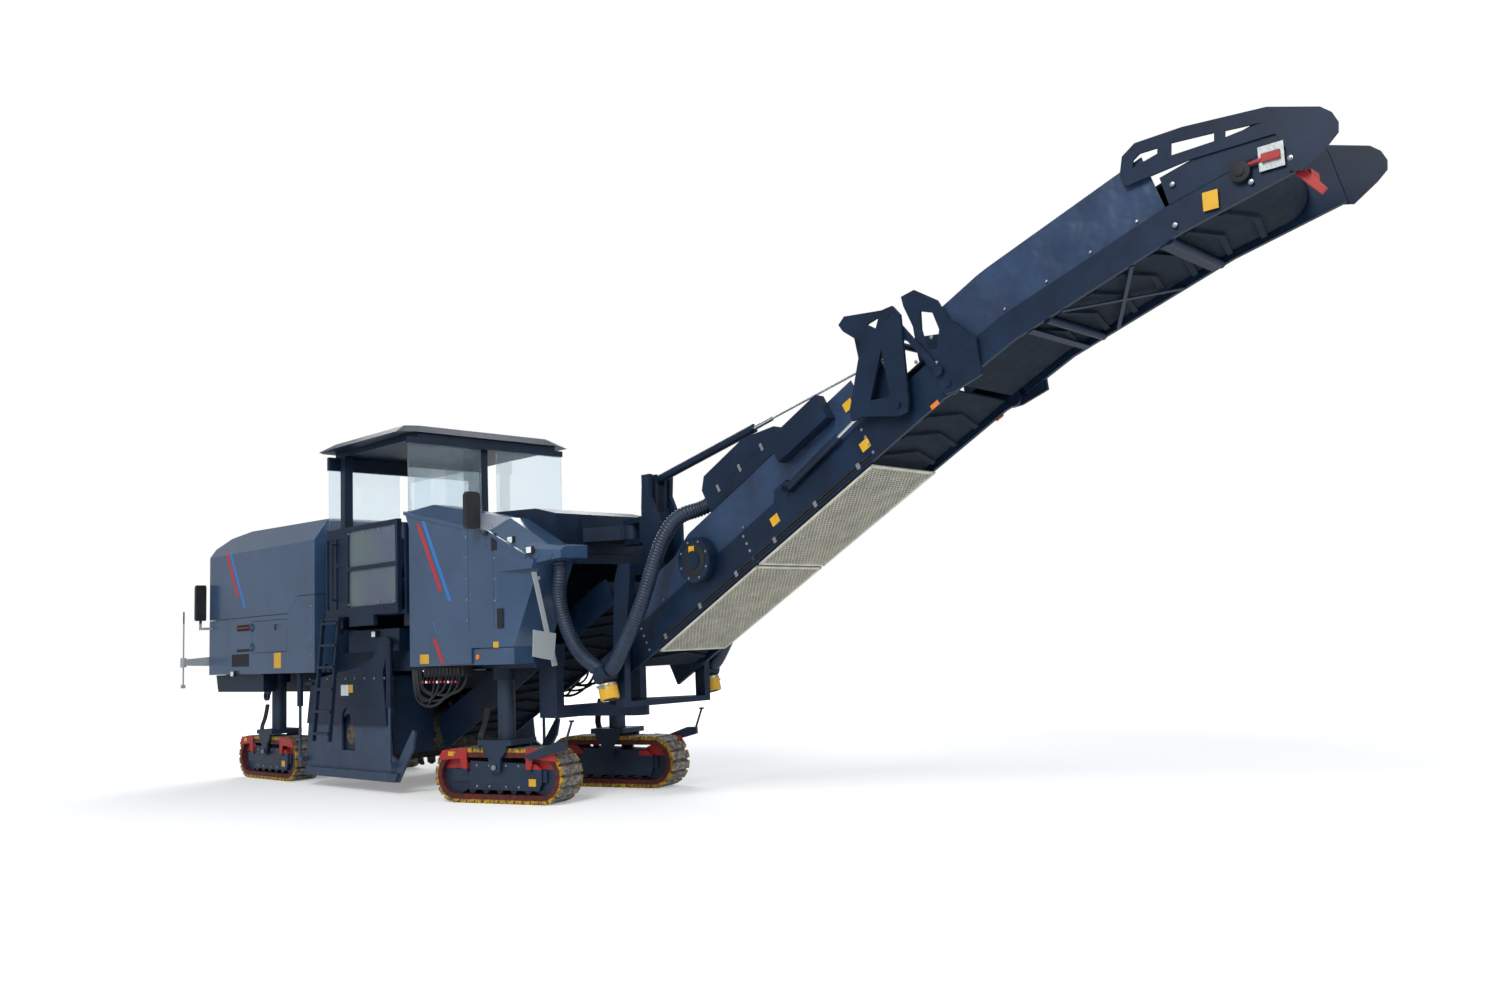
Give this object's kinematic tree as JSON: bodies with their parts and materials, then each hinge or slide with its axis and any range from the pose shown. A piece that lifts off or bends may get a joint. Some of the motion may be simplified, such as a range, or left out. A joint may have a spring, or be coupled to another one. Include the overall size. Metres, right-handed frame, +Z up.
{
  "type": "cold planer milling machine",
  "caption": "Tracked cold planer with a milling drum under the frame, an operator canopy and a folding front loading conveyor.",
  "frame": {"origin": "on the ground, at the centre of the machine's overall footprint box", "axes": "+X forward along the machine, towards the loading conveyor; +Y to the machine's left; +Z up"},
  "size_m": [16.5492, 3.2438, 5.327],
  "materials": {
    "navy_paint": "satin",
    "frame_paint": "satin",
    "slate_paint": "satin",
    "track_steel": "worn",
    "drum_steel": "worn",
    "chrome_rod": "polished",
    "galvanised": "galvanised",
    "belt_rubber": "matte",
    "tinted_glass": "clear",
    "canvas": "coated canvas"
  },
  "bodies": {
    "chassis": {"chassis": "frame_paint", "water_tank": "navy_paint", "front_cowls": "navy_paint", "rear_body": "navy_paint", "engine_block": "frame_paint", "platform": "frame_paint", "railings": "slate_paint", "platform_windows": "tinted_glass", "operator_stations": "frame_paint", "drum_housing": "frame_paint", "scraper_blade": "frame_paint", "primary_frame": "frame_paint", "primary_belt": "belt_rubber", "mirrors": "frame_paint"},
    "track_front_right": {"track_front_right_frame": "frame_paint", "track_front_right_chain": "track_steel"},
    "track_front_left": {"track_front_left_frame": "frame_paint", "track_front_left_chain": "track_steel"},
    "track_rear_right": {"track_rear_right_frame": "frame_paint", "track_rear_right_chain": "track_steel"},
    "track_rear_left": {"track_rear_left_frame": "frame_paint", "track_rear_left_chain": "track_steel"},
    "engine_hood": {"engine_hood": "navy_paint"},
    "service_door_right": {"service_door_right": "navy_paint"},
    "service_door_left": {"service_door_left": "navy_paint"},
    "canopy": {"canopy_roof": "slate_paint", "canopy_glass": "tinted_glass"},
    "side_plate_right": {"side_plate_right": "slate_paint"},
    "side_plate_left": {"side_plate_left": "slate_paint"},
    "milling_drum": {"milling_drum": "drum_steel"},
    "slew_tower": {"slew_tower": "frame_paint", "dust_hoses": "belt_rubber"},
    "hoist_barrel": {"hoist_barrel": "frame_paint"},
    "hoist_rod": {"hoist_rod": "chrome_rod"},
    "boom_lower": {"boom_lower_frame": "frame_paint", "boom_lower_covers": "canvas", "boom_lower_belt": "belt_rubber", "mesh_guard": "galvanised", "dust_fan": "slate_paint"},
    "boom_upper": {"boom_upper_frame": "frame_paint", "boom_upper_covers": "canvas", "boom_upper_belt": "belt_rubber"},
    "fold_lever": {"fold_levers": "frame_paint"},
    "fold_link": {"fold_links": "frame_paint"},
    "fold_barrel": {"fold_barrels": "frame_paint"},
    "fold_rod": {"fold_rods": "chrome_rod"}
  },
  "joints": [
    {"name": "steer_front_right", "type": "hinge", "parent": "chassis", "child": "track_front_right", "pos_m": [-1.03365, -0.813, 0], "axis": [0, 0, 1], "range_deg": [-40, 8]},
    {"name": "steer_rear_right", "type": "hinge", "parent": "chassis", "child": "track_rear_right", "pos_m": [-6.69765, -0.813, 0], "axis": [0, 0, 1], "range_deg": [-20, 20]},
    {"name": "steer_front_left", "type": "hinge", "parent": "chassis", "child": "track_front_left", "pos_m": [-1.03365, 0.813, 0], "axis": [0, 0, 1], "range_deg": [-40, 8]},
    {"name": "steer_rear_left", "type": "hinge", "parent": "chassis", "child": "track_rear_left", "pos_m": [-6.69765, 0.813, 0], "axis": [0, 0, 1], "range_deg": [-20, 20]},
    {"name": "hood_tilt", "type": "hinge", "parent": "chassis", "child": "engine_hood", "pos_m": [-8.11165, 0, 2.324], "axis": [0, -1, 0], "range_deg": [0, 45]},
    {"name": "service_door_right_swing", "type": "hinge", "parent": "chassis", "child": "service_door_right", "pos_m": [-6.63765, -1.264, 2], "axis": [0, 0, -1], "range_deg": [0, 110]},
    {"name": "side_plate_right_lift", "type": "slide", "parent": "chassis", "child": "side_plate_right", "axis": [0, 0, 1], "range_m": [0, 0.42]},
    {"name": "service_door_left_swing", "type": "hinge", "parent": "chassis", "child": "service_door_left", "pos_m": [-6.63765, 1.264, 2], "axis": [0, 0, 1], "range_deg": [0, 110]},
    {"name": "side_plate_left_lift", "type": "slide", "parent": "chassis", "child": "side_plate_left", "axis": [0, 0, 1], "range_m": [0, 0.42]},
    {"name": "canopy_drop", "type": "slide", "parent": "chassis", "child": "canopy", "axis": [0, 0, -1], "range_m": [0, 0.85]},
    {"name": "drum_spin", "type": "hinge", "parent": "chassis", "child": "milling_drum", "pos_m": [-4.15365, 0, 0.7], "axis": [0, 1, 0], "continuous": true},
    {"name": "conveyor_slew", "type": "hinge", "parent": "chassis", "child": "slew_tower", "pos_m": [0.31635, 0, 2.88], "axis": [0, 0, 1], "range_deg": [-45, 45], "deforming": ["dust_hoses"]},
    {"name": "conveyor_lift", "type": "hinge", "parent": "slew_tower", "child": "boom_lower", "pos_m": [0.73635, 0, 1.68], "axis": [0, -1, 0], "range_deg": [-14, 6], "deforming": ["dust_hoses"]},
    {"name": "conveyor_fold", "type": "hinge", "parent": "boom_lower", "child": "boom_upper", "pos_m": [5.03491, 0, 3.78066], "axis": [0, 1, 0], "range_deg": [0, 100]},
    {"name": "fold_lever_turn", "type": "hinge", "parent": "boom_lower", "child": "fold_lever", "pos_m": [4.56635, 0, 3.666], "axis": [0, 1, 0], "range_deg": [0, 18.03]},
    {"name": "fold_link_turn", "type": "hinge", "parent": "fold_lever", "child": "fold_link", "pos_m": [4.48735, 0, 4.473], "axis": [0, -1, 0], "range_deg": [0, 15.96]},
    {"name": "fold_barrel_turn", "type": "hinge", "parent": "boom_lower", "child": "fold_barrel", "pos_m": [3.16635, 0, 3.103], "axis": [0, -1, 0], "range_deg": [0, 6.24]},
    {"name": "fold_rod_stroke", "type": "slide", "parent": "fold_barrel", "child": "fold_rod", "axis": [0.8541, 0, 0.5201], "range_m": [0, 0.0959]},
    {"name": "hoist_barrel_turn", "type": "hinge", "parent": "slew_tower", "child": "hoist_barrel", "pos_m": [0.74435, 0, 3.504], "axis": [0, -1, 0], "range_deg": [-15.39, 6.77]},
    {"name": "hoist_rod_stroke", "type": "slide", "parent": "hoist_barrel", "child": "hoist_rod", "axis": [0.9725, 0, 0.2327], "range_m": [-0.1914, 0.4425]}
  ],
  "couplings": [
    {"joint": "fold_lever_turn", "follows": "conveyor_fold", "ratio": 0.17431},
    {"joint": "fold_link_turn", "follows": "conveyor_fold", "ratio": 0.15362},
    {"joint": "fold_barrel_turn", "follows": "conveyor_fold", "ratio": 0.056351},
    {"joint": "fold_rod_stroke", "follows": "conveyor_fold", "m_per_rad": 0.053809},
    {"joint": "hoist_barrel_turn", "follows": "conveyor_lift", "ratio": 1.078},
    {"joint": "hoist_rod_stroke", "follows": "conveyor_lift", "m_per_rad": -1.7988}
  ]
}
